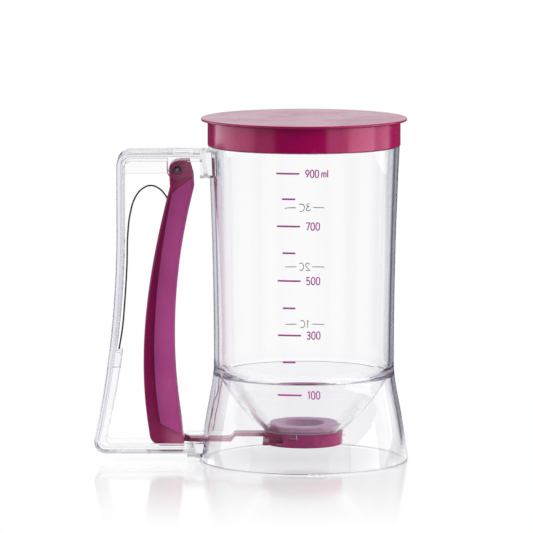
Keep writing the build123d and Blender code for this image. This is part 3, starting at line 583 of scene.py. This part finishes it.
def printed_ink(name, colour, rough):
    """Pad-printed ink: slightly uneven cover and a faint orange-peel skin."""
    material, tree, shader, _ = start_material(name)
    cover = ranged(tree, noise(tree, object_place(tree), 1800.0, 3.0, 0.6), 0.3, 0.62)
    thin = tuple(c * 0.8 + 0.09 for c in colour[:3]) + (1,)
    tree.links.new(mixed_colour(tree, cover, thin, tuple(colour)), shader.inputs["Base Color"])
    marks = place_group(tree, handling_marks(), Base=rough, Scratch=0.2, Smear=0.1, Scale=3.0)
    tree.links.new(marks.outputs["Roughness"], shader.inputs["Roughness"])
    add_bump(tree, shader, noise(tree, object_place(tree), 4000.0, 1.0), 0.2, 0.00005)
    return material


def dress(node_name, material):
    """Puts one material on every slot of a CAD node."""
    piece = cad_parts[node_name]
    for slot in piece.material_slots:
        slot.material = material


# ---------------------------------------------------------------- printed scales

def arc(centre_x, centre_y, radius_x, radius_y, start, end, steps=10):
    """Points on an elliptic arc, in degrees."""
    angles = [math.radians(start + (end - start) * i / steps) for i in range(steps + 1)]
    return [(centre_x + radius_x * math.cos(a), centre_y + radius_y * math.sin(a)) for a in angles]


# Figures as strokes on a grid one figure high. The second entry is the figure's advance.
FIGURES = {
    "0": ([arc(0.23, 0.68, 0.21, 0.32, 0, 180) + arc(0.23, 0.32, 0.21, 0.32, 180, 360)
           + [(0.44, 0.68)]], 0.62),
    "1": ([[(0.10, 0.82), (0.25, 1.0), (0.25, 0.0)]], 0.50),
    "2": ([arc(0.23, 0.72, 0.21, 0.28, 165, -30) + [(0.03, 0.0), (0.46, 0.0)]], 0.62),
    "3": ([arc(0.22, 0.755, 0.20, 0.245, 150, -90, 9)
           + arc(0.22, 0.26, 0.22, 0.26, 90, -150, 9)], 0.62),
    "5": ([[(0.42, 1.0), (0.09, 1.0), (0.06, 0.54)]
           + arc(0.22, 0.31, 0.22, 0.31, 120, -150, 9)], 0.62),
    "7": ([[(0.03, 1.0), (0.46, 1.0), (0.17, 0.0)]], 0.60),
    "9": ([arc(0.23, 0.70, 0.21, 0.30, -25, 335, 14),
           arc(0.23, 0.70, 0.21, 0.30, 0, -40, 4) + [(0.16, 0.0)]], 0.62),
    "C": ([arc(0.29, 0.50, 0.26, 0.50, 50, 310, 14)], 0.62),
    "m": ([[(0.04, 0.0), (0.04, 0.62)], arc(0.18, 0.46, 0.14, 0.16, 170, 0, 6) + [(0.32, 0.0)],
           arc(0.46, 0.46, 0.14, 0.16, 175, 0, 6) + [(0.60, 0.0)]], 0.76),
    "l": ([[(0.06, 0.0), (0.06, 1.0)]], 0.20),
}


def word_strokes(word, left, middle, height, stretch):
    """Strokes of a word that starts at left, with its middle at the given height."""
    strokes = []
    low = middle - height / 2
    for letter in word:
        if letter == " ":
            left += 0.2 * height
            continue
        lines, advance = FIGURES[letter]
        strokes += [[(left + x * height * stretch, low + y * height) for x, y in line]
                    for line in lines]
        left += advance * height * stretch
    return strokes


def side_points(points, half):
    """Points on both sides of a stroke, at the distance half."""
    left, right = [], []
    for i, point in enumerate(points):
        here = Vector(point)
        before = Vector(points[max(i - 1, 0)])
        after = Vector(points[min(i + 1, len(points) - 1)])
        way_in = (here - before).normalized() if i else (after - here).normalized()
        way_out = (after - here).normalized() if i < len(points) - 1 else way_in
        middle = (way_in + way_out).normalized()
        across = Vector((-middle.y, middle.x))
        reach = half / max(0.5, middle.dot(way_in))
        left.append(here + across * reach)
        right.append(here - across * reach)
    return left, right


def stroke_solid(bm, points, width, film, wall):
    """One printed stroke as a thin closed strip that lies on the wall."""
    fine = [points[0]]
    for a, b in zip(points, points[1:]):
        steps = max(1, round((Vector(b) - Vector(a)).length / (1.5 * MM)))
        fine += [tuple(Vector(a).lerp(Vector(b), k / steps)) for k in range(1, steps + 1)]
    left, right = side_points(fine, width / 2)
    rings = []
    for a, b in zip(left, right):
        rings.append([bm.verts.new(wall(*spot, lift)) for spot, lift in
                      ((a, 0.2 * film), (a, film), (b, film), (b, 0.2 * film))])
    for here, there in zip(rings, rings[1:]):
        for k in range(4):
            bm.faces.new((here[k], here[(k + 1) % 4], there[(k + 1) % 4], there[k]))
    bm.faces.new(rings[0][::-1])
    bm.faces.new(rings[-1])


def wall_finder(side):
    """Gives wall(across, height, lift): the place on the jar's outside, front (1) or back (-1)."""
    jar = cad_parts["container"]
    tree = BVHTree.FromObject(jar, bpy.context.evaluated_depsgraph_get())

    def wall(across, height, lift):
        angle = across / PRINT_RADIUS
        out = Vector((side * math.sin(angle), -side * math.cos(angle), 0))
        start = out * OUTSIDE + Vector((0, 0, height))
        hit = tree.ray_cast(start, -out)[0]
        if hit is None:
            raise RuntimeError("the scale finds no wall to lie on")
        return hit + out * lift
    return wall


def dash(ends, level, shift=(0, 0)):
    """A level stroke between two places across, in millimetres."""
    return [((end + aside) * MM, level * MM) for end, aside in zip(ends, shift)]


def print_piece(name, strokes, width, film, side, material):
    """A printed piece made of strokes on the jar's wall."""
    wall = wall_finder(side)
    bm = bmesh.new()
    for points in strokes:
        stroke_solid(bm, points, width, film, wall)
    bmesh.ops.recalc_face_normals(bm, faces=bm.faces)
    mesh = bpy.data.meshes.new(name)
    bm.to_mesh(mesh)
    bm.free()
    piece = bpy.data.objects.new(name, mesh)
    bpy.context.collection.objects.link(piece)
    mesh.materials.append(material)
    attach(piece, "jar")


# ---------------------------------------------------------------- operators

class DISPENSER_OT_clear_mouldings(bpy.types.Operator):
    """Finish the jar and the handle frame in clear plastic"""
    bl_idname = "dispenser.clear_mouldings"
    bl_label = "Clear mouldings"

    def execute(self, context):
        finish = context.scene.dispenser_finish
        dress("container", clear_plastic("clear_jar_plastic", finish, finish.clear_density, True))
        dress("handle_frame", clear_plastic("clear_handle_plastic", finish, finish.handle_density))
        return {"FINISHED"}


class DISPENSER_OT_lid(bpy.types.Operator):
    """Finish the lid in gloss magenta plastic"""
    bl_idname = "dispenser.lid"
    bl_label = "Lid"

    def execute(self, context):
        magenta = context.scene.dispenser_finish.gloss_colour
        dress("lid", magenta_plastic("gloss_magenta_plastic", magenta, 0.16, 0.07, 0.05)[0])
        return {"FINISHED"}


class DISPENSER_OT_valve_cap(bpy.types.Operator):
    """Finish the valve's cap in gloss magenta plastic"""
    bl_idname = "dispenser.valve_cap"
    bl_label = "Valve cap"

    def execute(self, context):
        magenta = context.scene.dispenser_finish.cap_colour
        dress("valve_cap", magenta_plastic("cap_magenta_plastic", magenta, 0.16, 0.07, 0.05)[0])
        return {"FINISHED"}


class DISPENSER_OT_slide_gate(bpy.types.Operator):
    """Finish the slide gate in gloss plastic with a painted reflection on its bar"""
    bl_idname = "dispenser.slide_gate"
    bl_label = "Slide gate"

    def execute(self, context):
        dress("slide_gate", gate_plastic(context.scene.dispenser_finish))
        return {"FINISHED"}


class DISPENSER_OT_valve_seat(bpy.types.Operator):
    """Finish the valve's seat in pink plastic, painted paler as a painted reflection of the clear
    walls in front of it
    """
    bl_idname = "dispenser.valve_seat"
    bl_label = "Valve seat"

    def execute(self, context):
        pink = context.scene.dispenser_finish.seat_colour_and_reflection
        dress("valve_seat", magenta_plastic("seat_pink_and_reflection_plastic", pink, 0.25, 0.08, 0.2)[0])
        return {"FINISHED"}


class DISPENSER_OT_trigger_lever(bpy.types.Operator):
    """Finish the trigger lever in glossy plastic with satin grip panels"""
    bl_idname = "dispenser.trigger_lever"
    bl_label = "Trigger lever"

    def execute(self, context):
        dress("trigger_lever", lever_plastic(context.scene.dispenser_finish))
        return {"FINISHED"}


class DISPENSER_OT_pivot_pin(bpy.types.Operator):
    """Finish the pivot pin in drawn steel"""
    bl_idname = "dispenser.pivot_pin"
    bl_label = "Pivot pin"

    def execute(self, context):
        dress("pivot_pin", pin_steel(context.scene.dispenser_finish))
        return {"FINISHED"}


class DISPENSER_OT_return_spring(bpy.types.Operator):
    """Bend the return spring from wire, between the handle's channel and the lever"""
    bl_idname = "dispenser.return_spring"
    bl_label = "Return spring"

    def execute(self, context):
        curve = bpy.data.curves.new("spring_path", "CURVE")
        curve.dimensions = "3D"
        curve.resolution_u = 16
        curve.bevel_depth = context.scene.dispenser_print.wire_radius
        curve.bevel_resolution = 4
        curve.use_fill_caps = True
        spline = curve.splines.new("BEZIER")
        spline.bezier_points.add(len(WIRE_POINTS) - 1)
        for knot, (x, z) in zip(spline.bezier_points, WIRE_POINTS):
            knot.co = (x * MM, 0, z * MM)
            knot.handle_left_type = knot.handle_right_type = "AUTO"
        path = bpy.data.objects.new("spring_path", curve)
        context.collection.objects.link(path)
        evaluated = path.evaluated_get(context.evaluated_depsgraph_get())
        mesh = bpy.data.meshes.new_from_object(evaluated)
        bpy.data.objects.remove(path)
        mesh.name = "spring_wire"
        mesh.materials.clear()
        finish = context.scene.dispenser_finish
        mesh.materials.append(drawn_steel("spring_wire_steel", finish.wire_colour, 0.3)[0])
        for face in mesh.polygons:
            face.use_smooth = True
        piece = bpy.data.objects.new("spring_wire", mesh)
        context.collection.objects.link(piece)
        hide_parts("return_spring")
        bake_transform(piece)
        return {"FINISHED"}


class DISPENSER_OT_millilitre_scale(bpy.types.Operator):
    """Print the millilitre scale on the front of the jar"""
    bl_idname = "dispenser.millilitre_scale"
    bl_label = "Millilitre scale"

    def execute(self, context):
        scale = context.scene.dispenser_print
        ink = printed_ink("magenta_ink", context.scene.dispenser_finish.ink_colour, 0.35)
        top, top_word = LONG_MARKS[0]
        thick = scale.stroke * 1.5

        def on_front(name, strokes, width):
            print_piece(name, strokes, width, scale.film, 1, ink)

        for level, word in LONG_MARKS:
            slant = (top - level) * MARKS_SLANT
            shift = (slant, slant * DASH_SLANT)
            on_front("scale_mark_" + word, [dash(LONG_DASH, level, shift)], thick)
            label, stretch = (word + " ml", TOP_STRETCH) if word == top_word else (word, STRETCH)
            left = (FIGURES_LEFT + slant * FIGURES_SLANT) * MM
            strokes = word_strokes(label, left, level * MM, scale.figure_height, stretch)
            on_front("scale_figure_" + word, strokes, scale.stroke)
        on_front("scale_half_marks", [dash(SHORT_DASH, level) for level in SHORT_MARKS], thick)
        return {"FINISHED"}


class DISPENSER_OT_cup_scale(bpy.types.Operator):
    """Print the cup scale on the back of the jar"""
    bl_idname = "dispenser.cup_scale"
    bl_label = "Cup scale"

    def execute(self, context):
        scale = context.scene.dispenser_print
        ink = printed_ink("grey_ink", CUP_INK, 0.4)
        height = scale.figure_height * 1.05
        for level, word in CUP_MARKS:
            left = CUP_FIGURES_LEFT * MM
            strokes = word_strokes(word + "C", left, level * MM, height, CUP_STRETCH)
            strokes += [dash(ends, level) for ends in CUP_DASHES]
            print_piece("cup_mark_" + word, strokes, scale.stroke * 0.8, scale.film, -1, ink)
        return {"FINISHED"}


GLOSS_SHARE = 0.87           # brightness of the surroundings that the floor mirrors


def stage_floor(stage):
    """A pale glossy disc that fades out towards its rim."""
    bm = bmesh.new()
    bmesh.ops.create_circle(bm, cap_ends=True, segments=128, radius=stage.floor_radius)
    mesh = bpy.data.meshes.new("studio_floor")
    bm.to_mesh(mesh)
    bm.free()
    floor = bpy.data.objects.new("studio_floor", mesh)
    floor.location.z = -0.0002
    bpy.context.collection.objects.link(floor)
    material, tree, shader, output = start_material("studio_floor")
    path = tree.nodes.new("ShaderNodeLightPath")
    seen = maths(tree, "MAXIMUM", path.outputs["Is Camera Ray"],
                 path.outputs["Is Transmission Ray"])
    tone = mixed_colour(tree, seen, (0.80, 0.80, 0.80, 1), (0.16, 0.16, 0.16, 1))
    tree.links.new(tone, shader.inputs["Base Color"])
    shader.inputs["Emission Color"].default_value = WHITE
    # The shallower the view, the more of the surroundings' white the gloss adds, so the floor's
    # own white shrinks by as much.
    gloss = add_node(tree, "ShaderNodeFresnel", IOR=1.5)
    glow = maths(tree, "MULTIPLY_ADD", gloss.outputs[0], -GLOSS_SHARE, stage.floor_glow)
    tree.links.new(maths(tree, "MULTIPLY", seen, glow), shader.inputs["Emission Strength"])
    cloud = ranged(tree, noise(tree, object_place(tree), 3.0), 0.3, 0.7, 0.07, 0.10)
    tree.links.new(cloud, shader.inputs["Roughness"])
    axes = object_axes(tree)
    fade = ranged(tree, distance(tree, axes["X"], axes["Y"]), *FLOOR_FADE)
    clear = tree.nodes.new("ShaderNodeBsdfTransparent")
    mix = tree.nodes.new("ShaderNodeMixShader")
    tree.links.new(fade, mix.inputs[0])
    tree.links.new(shader.outputs[0], mix.inputs[1])
    tree.links.new(clear.outputs[0], mix.inputs[2])
    tree.links.new(mix.outputs[0], output.inputs["Surface"])
    mesh.materials.append(material)


# Colours that a clear edge bends into view, by degrees round from straight behind. They repeat
# every quarter turn, so every side of the object has them.
SURROUND = (
    (0, WHITE), (11, WHITE), (16, (0.45, 0.46, 0.52, 1)), (24, (0.38, 0.39, 0.46, 1)),
    (27, (0.11, 0.12, 0.16, 1)), (31, (0.10, 0.11, 0.15, 1)), (36, (0.6, 0.6, 0.66, 1)),
    (41, WHITE), (55, WHITE), (59, (0.25, 0.24, 0.31, 1)), (62, (0.22, 0.21, 0.28, 1)),
    (65, (0.85, 0.85, 0.92, 1)), (77, (0.88, 0.88, 0.95, 1)), (84, WHITE), (90, WHITE),
)


def stage_world(stage):
    """White surroundings with softly darker gaps that the clear edges bend into view."""
    world = bpy.data.worlds.new("studio_world")
    bpy.context.scene.world = world
    world.use_nodes = True
    tree = world.node_tree
    tree.nodes.clear()
    output = tree.nodes.new("ShaderNodeOutputWorld")
    background = tree.nodes.new("ShaderNodeBackground")
    tree.links.new(background.outputs[0], output.inputs["Surface"])
    way = tree.nodes.new("ShaderNodeTexCoord")
    axes = tree.nodes.new("ShaderNodeSeparateXYZ")
    tree.links.new(way.outputs["Generated"], axes.inputs[0])
    turn = maths(tree, "ARCTAN2", axes.outputs["X"], axes.outputs["Y"])
    quarter = maths(tree, "FRACT", maths(tree, "DIVIDE", turn, math.pi / 2))
    ramp = tree.nodes.new("ShaderNodeValToRGB")
    tree.links.new(quarter, ramp.inputs[0])
    stops = ramp.color_ramp.elements
    for _ in SURROUND[2:]:
        stops.new(0.5)
    for stop, (degrees, colour) in zip(stops, SURROUND):
        stop.position = degrees / 90
        stop.color = colour
    # What is seen through the clear plastic: the gaps near the horizon, greyer just above it,
    # and white further up and down.
    steep = ranged(tree, maths(tree, "ABSOLUTE", axes.outputs["Z"]), 0.3, 0.55)
    horizon = ranged(tree, axes.outputs["Z"], 0.03, 0.08)
    bent = mixed_colour(tree, horizon, ramp.outputs[0], (0.55, 0.55, 0.56, 1), "MULTIPLY")
    seen_through = mixed_colour(tree, steep, bent, WHITE)
    # What gloss mirrors: dim below the horizon and high up in front, bright straight overhead.
    above = ranged(tree, axes.outputs["Z"], -0.02, 0.02, 0.06, 0.87)
    high = ranged(tree, axes.outputs["Z"], 0.45, 0.75, 0.0, 0.5)
    aside = maths(tree, "ABSOLUTE", turn)
    front = ranged(tree, aside, math.radians(118), math.radians(136), 1.0, 0.07)
    front = maths(tree, "MAXIMUM", front, ranged(tree, axes.outputs["Z"], 0.28, 0.40, 1.0, 0.0))
    bright = maths(tree, "MULTIPLY", maths(tree, "SUBTRACT", above, high), front)
    zenith = ranged(tree, axes.outputs["Z"], 0.88, 0.97, 0.0, 5.0)
    mirrored = mixed_colour(tree, bright, (0, 0, 0, 1), WHITE)
    mirrored = mixed_colour(tree, 1.0, mirrored, zenith, "ADD")
    fill = (stage.fill_level, stage.fill_level, stage.fill_level, 1)
    path = tree.nodes.new("ShaderNodeLightPath")
    colour = mixed_colour(tree, path.outputs["Is Glossy Ray"], fill, mirrored)
    colour = mixed_colour(tree, path.outputs["Is Transmission Ray"], colour, seen_through)
    colour = mixed_colour(tree, path.outputs["Is Camera Ray"], colour, WHITE)
    scattered = maths(tree, "MINIMUM", path.outputs["Diffuse Depth"], 1.0)
    colour = mixed_colour(tree, scattered, colour, fill)
    tree.links.new(colour, background.inputs["Color"])


# Softboxes round the object, which only light it: name, width, height, place from above and
# brightness. Each has a low strip of the same width, which only glossy surfaces mirror.
SOFTBOXES = (
    ("right", 0.65, 0.70, (0.898, -0.309), 1.9),
    ("behind", 0.51, 0.70, (0.918, 0.246), 0.6),
    ("card_right", 0.374, 1.20, (0.556, -0.707), 0.7),
    ("left", 1.36, 1.20, (-0.95, 0.088), 0.8),
    ("card_left", 0.366, 1.20, (-0.653, -0.62), 0.35),
)
SOFTBOX_FOOT = 0.02          # lower edge of the softboxes and the strips
SOFTBOX_AIM = (0, 0, 0.30)
STRIP_HEIGHT = 0.11
OVERHEAD_SIZE = (2.0, 1.8)
OVERHEAD_PLACE = (0.0, 0.1, 1.5)
OVERHEAD_SHARE = 0.12        # of the softboxes' brightness


def softbox(name, width, height, place, aim, level, mirrored):
    """A rectangular lamp that faces aim and is either only mirrored by gloss or only lights."""
    lamp = bpy.data.lights.new(name, "AREA")
    lamp.shape = "RECTANGLE"
    lamp.size = width
    lamp.size_y = height
    lamp.energy = level * math.pi * width * height
    holder = bpy.data.objects.new(name, lamp)
    holder.location = place
    holder.rotation_euler = (Vector(aim) - Vector(place)).to_track_quat("-Z", "Y").to_euler()
    holder.visible_camera = False
    holder.visible_transmission = False
    holder.visible_glossy = mirrored
    holder.visible_diffuse = not mirrored
    bpy.context.collection.objects.link(holder)


class DISPENSER_OT_stage(bpy.types.Operator):
    """Set the floor, the surroundings, the lamps and the camera"""
    bl_idname = "dispenser.stage"
    bl_label = "Stage"

    def execute(self, context):
        stage = context.scene.dispenser_stage
        stage_floor(stage)
        stage_world(stage)
        for name, width, height, (x, y), brightness in SOFTBOXES:
            level = stage.softbox_level * brightness
            box_place = (x, y, SOFTBOX_FOOT + height / 2)
            strip_middle = SOFTBOX_FOOT + STRIP_HEIGHT / 2
            softbox("softbox_" + name, width, height, box_place, SOFTBOX_AIM, level, False)
            softbox("strip_" + name, width, STRIP_HEIGHT, (x, y, strip_middle),
                    (0, 0, strip_middle), level, True)
        level = stage.softbox_level * OVERHEAD_SHARE
        softbox("overhead", *OVERHEAD_SIZE, OVERHEAD_PLACE, (0, 0, 0.10), level, False)

        camera = bpy.data.cameras.new("camera")
        camera.sensor_width = 36
        camera.lens = stage.camera_lens
        camera.clip_start = 0.05
        camera.clip_end = 50
        holder = bpy.data.objects.new("camera", camera)
        back = Vector((0, -math.cos(stage.camera_pitch), math.sin(stage.camera_pitch)))
        holder.location = CAMERA_TARGET + back * stage.camera_distance
        holder.rotation_euler = (-back).to_track_quat("-Z", "Y").to_euler()
        context.collection.objects.link(holder)
        context.scene.camera = holder
        context.scene.view_settings.view_transform = "Standard"
        cycles = context.scene.cycles
        cycles.max_bounces = stage.clear_bounces
        cycles.glossy_bounces = stage.clear_bounces
        cycles.transmission_bounces = stage.clear_bounces
        return {"FINISHED"}


class DISPENSER_PT_panel(bpy.types.Panel):
    bl_idname = "DISPENSER_PT_panel"
    bl_label = "Batter Dispenser"
    bl_space_type = "VIEW_3D"
    bl_region_type = "UI"
    bl_category = "Dispenser"

    def draw(self, context):
        for group in (context.scene.dispenser_finish, context.scene.dispenser_print,
                      context.scene.dispenser_stage):
            box = self.layout.box()
            for name in group.__annotations__:
                box.prop(group, name)
        for operator in OPERATORS:
            self.layout.operator(operator.bl_idname)


GROUPS = {
    "dispenser_finish": DispenserFinish,
    "dispenser_print": DispenserPrint,
    "dispenser_stage": DispenserStage,
}
OPERATORS = (
    DISPENSER_OT_clear_mouldings,
    DISPENSER_OT_lid,
    DISPENSER_OT_valve_cap,
    DISPENSER_OT_slide_gate,
    DISPENSER_OT_valve_seat,
    DISPENSER_OT_trigger_lever,
    DISPENSER_OT_pivot_pin,
    DISPENSER_OT_return_spring,
    DISPENSER_OT_millilitre_scale,
    DISPENSER_OT_cup_scale,
    DISPENSER_OT_stage,
)


def register():
    for group in GROUPS.values():
        bpy.utils.register_class(group)
    for operator in OPERATORS:
        bpy.utils.register_class(operator)
    bpy.utils.register_class(DISPENSER_PT_panel)
    for name, group in GROUPS.items():
        setattr(bpy.types.Scene, name, bpy.props.PointerProperty(type=group))


def unregister():
    for name in GROUPS:
        delattr(bpy.types.Scene, name)
    bpy.utils.unregister_class(DISPENSER_PT_panel)
    for item in (*OPERATORS, *GROUPS.values()):
        bpy.utils.unregister_class(item)


def main():
    register()
    bpy.ops.dispenser.clear_mouldings()
    bpy.ops.dispenser.lid()
    bpy.ops.dispenser.valve_cap()
    bpy.ops.dispenser.slide_gate()
    bpy.ops.dispenser.valve_seat()
    bpy.ops.dispenser.trigger_lever()
    bpy.ops.dispenser.pivot_pin()
    bpy.ops.dispenser.return_spring()
    bpy.ops.dispenser.millilitre_scale()
    bpy.ops.dispenser.cup_scale()
    bpy.ops.dispenser.stage()


if __name__ == "__main__":
    main()
